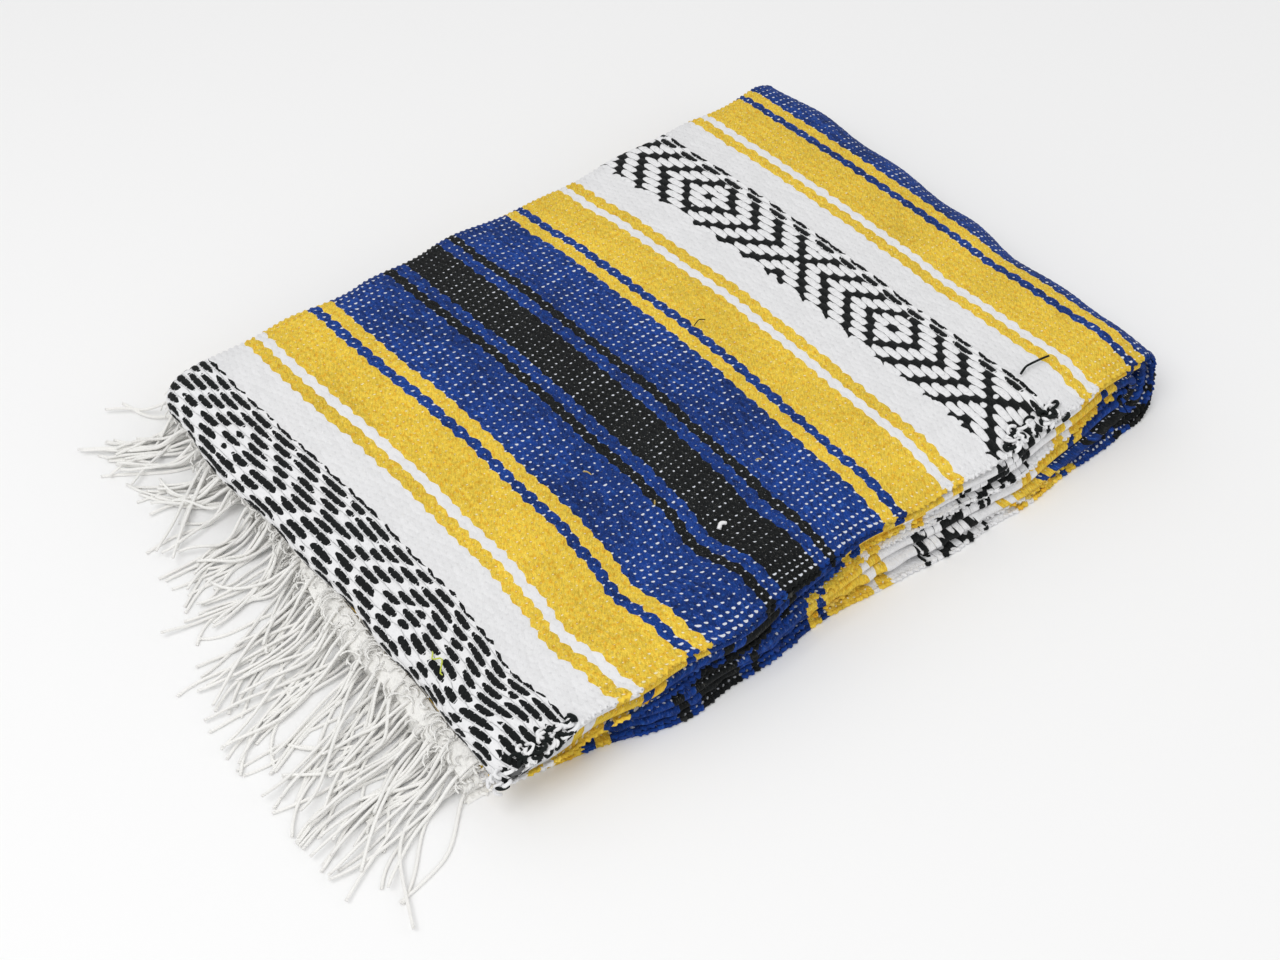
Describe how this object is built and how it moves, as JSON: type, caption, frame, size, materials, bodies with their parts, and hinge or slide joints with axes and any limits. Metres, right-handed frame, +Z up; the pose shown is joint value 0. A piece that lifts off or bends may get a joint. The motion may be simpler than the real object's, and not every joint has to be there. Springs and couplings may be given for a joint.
{
  "type": "serape blanket",
  "caption": "Striped woven serape blanket, folded into a flat rectangular stack, with loose warp fringe at one side.",
  "frame": {"origin": "on the floor under the middle of the folded stack and its fringe together", "axes": "+X along the warp, away from the fringe; +Y across the blanket, along the stripes, away from the near selvedge; +Z up"},
  "size_m": [0.5188, 0.3512, 0.0505],
  "materials": {
    "woven_cloth": "thick weft-faced wool and acrylic weave, blue, yellow, black and white stripes, matte and fuzzy",
    "warp_yarn": "loose off-white twisted cotton warp ends, matte"
  },
  "bodies": {
    "root": {"blanket_cloth": "woven_cloth", "fringe_lower": "warp_yarn", "fringe_upper": "warp_yarn"}
  },
  "joints": []
}
